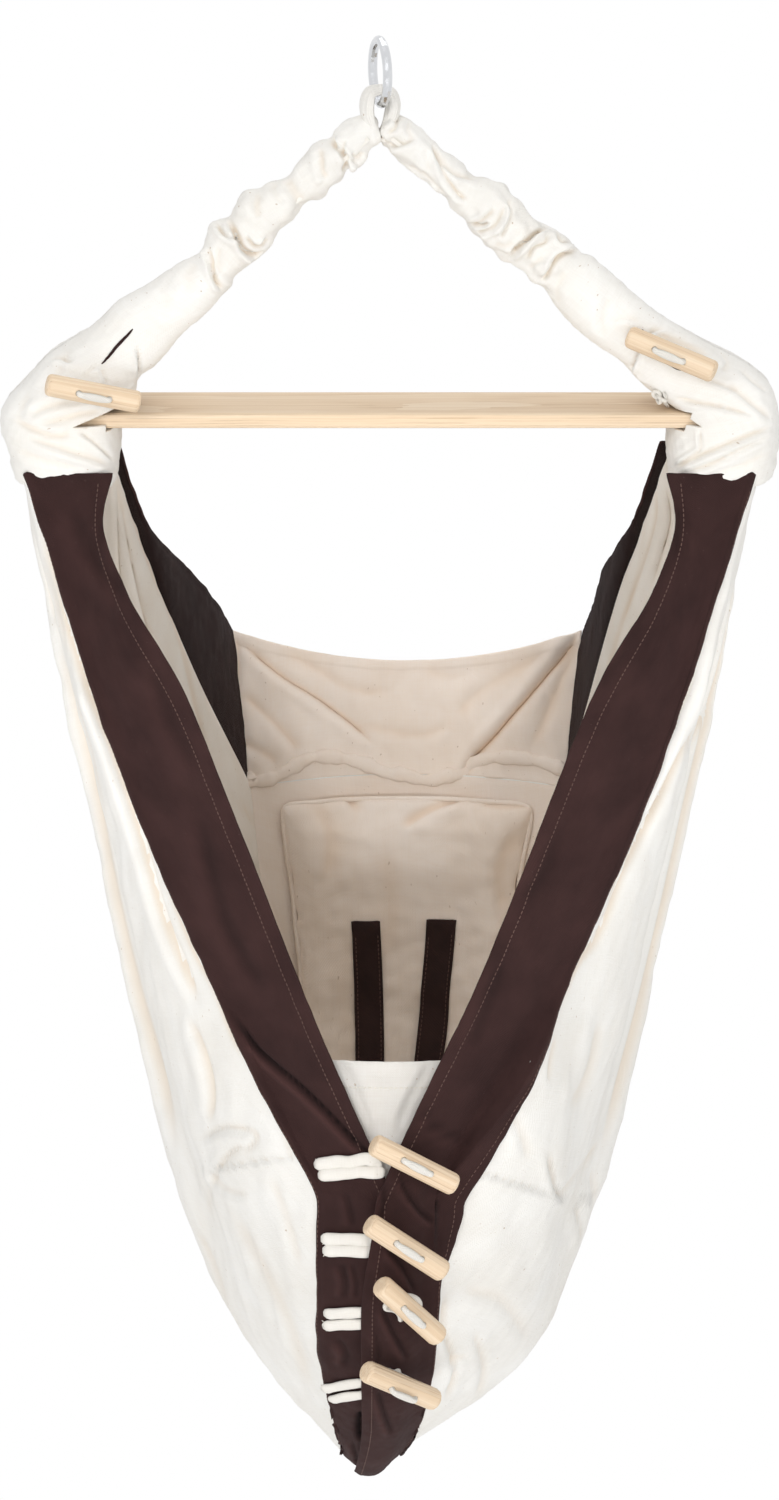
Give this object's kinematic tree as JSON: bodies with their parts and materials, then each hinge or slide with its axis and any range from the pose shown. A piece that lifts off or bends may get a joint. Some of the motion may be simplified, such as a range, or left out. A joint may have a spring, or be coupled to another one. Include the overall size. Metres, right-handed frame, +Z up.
{
  "type": "hanging baby cradle",
  "caption": "Cloth cradle for a baby, hung from one ring: a bag with a toggled front closure under a wooden spreader bar and two ruched sleeves.",
  "frame": {"origin": "where the hook bears on the inside of the ring, at its top", "axes": "+Z up, +X along the spreader bar, +Y towards the head end, -Y towards the toggled closure at the foot end"},
  "size_m": [0.5104, 0.5356, 0.9765],
  "materials": {
    "ash": "sanded, oiled ash",
    "chrome": "polished",
    "cord": "braided cotton cord",
    "webbing": "woven cotton tape",
    "twill": "dark brown cotton twill",
    "lining": "cream cotton lining",
    "harness": "dark brown woven strap",
    "moulded": "moulded, satin",
    "canvas": "undyed cotton canvas"
  },
  "bodies": {
    "ring": {"hanging_ring": "chrome"},
    "loop": {"strap_loop": "canvas"},
    "toggle_hood_left": {"toggle_hood_left": "ash", "toggle_cord_hood_left": "cord"},
    "toggle_hood_right": {"toggle_hood_right": "ash", "toggle_cord_hood_right": "cord"},
    "toggle_1": {"toggle_1": "ash", "toggle_cord_1": "cord"},
    "toggle_2": {"toggle_2": "ash", "toggle_cord_2": "cord"},
    "toggle_3": {"toggle_3": "ash", "toggle_cord_3": "cord"},
    "toggle_4": {"toggle_4": "ash", "toggle_cord_4": "cord"},
    "cradle": {"spreader_bar": "ash", "hood_left": "canvas", "sleeve_left": "canvas", "load_strap_left": "webbing", "side_panel_left": "canvas", "front_trim_left": "twill", "rear_trim_left": "twill", "hood_right": "canvas", "sleeve_right": "canvas", "load_strap_right": "webbing", "side_panel_right": "canvas", "front_trim_right": "twill", "rear_trim_right": "twill", "bottom_panel": "canvas", "head_panel": "lining", "mattress": "lining", "foot_apron": "lining", "tape_anchor_1": "webbing", "tape_anchor_2": "webbing", "tape_anchor_3": "webbing", "tape_anchor_4": "webbing", "shoulder_strap_left": "harness", "shoulder_strap_right": "harness", "crotch_strap": "harness", "buckle_body": "moulded", "buckle_tongue_left": "chrome", "buckle_tongue_right": "chrome"},
    "button": {"buckle_button": "moulded"}
  },
  "joints": [
    {"name": "swing_fore_aft", "type": "hinge", "parent": "ring", "child": "loop", "pos_m": [0, 0, -0.017], "axis": [0.9703, 0.2419, 0], "range_deg": [-20, 20]},
    {"name": "swing_side", "type": "hinge", "parent": "loop", "child": "cradle", "pos_m": [0, 0, -0.054], "axis": [0, 1, 0], "range_deg": [-12, 12]},
    {"name": "toggle_hood_left_turn", "type": "hinge", "parent": "cradle", "child": "toggle_hood_left", "pos_m": [-0.18681, -0.03326, -0.21505], "axis": [0.1543, -0.9873, -0.0385], "range_deg": [-12, 12]},
    {"name": "toggle_hood_right_turn", "type": "hinge", "parent": "cradle", "child": "toggle_hood_right", "pos_m": [0.19163, -0.02223, -0.19387], "axis": [-0.3101, -0.9447, 0.1068], "range_deg": [-12, 12]},
    {"name": "toggle_1_turn", "type": "hinge", "parent": "cradle", "child": "toggle_1", "pos_m": [0.01835, -0.25904, -0.65771], "axis": [0.2642, -0.935, 0.2367], "range_deg": [-30, 30]},
    {"name": "toggle_2_turn", "type": "hinge", "parent": "cradle", "child": "toggle_2", "pos_m": [0.01389, -0.27185, -0.70865], "axis": [0.2318, -0.9599, 0.1574], "range_deg": [-20, 30]},
    {"name": "toggle_3_turn", "type": "hinge", "parent": "cradle", "child": "toggle_3", "pos_m": [0.01512, -0.27441, -0.75033], "axis": [0.3189, -0.9468, -0.0439], "range_deg": [-20, 30]},
    {"name": "toggle_4_turn", "type": "hinge", "parent": "cradle", "child": "toggle_4", "pos_m": [0.01064, -0.26567, -0.80732], "axis": [0.2153, -0.9288, -0.3015], "range_deg": [-25, 25]},
    {"name": "button_press", "type": "slide", "parent": "cradle", "child": "button", "axis": [0.0015, 0.4426, -0.8967], "range_m": [0, 0.002], "stiffness_N_per_m": 600, "springref_m": -0.0005}
  ]
}
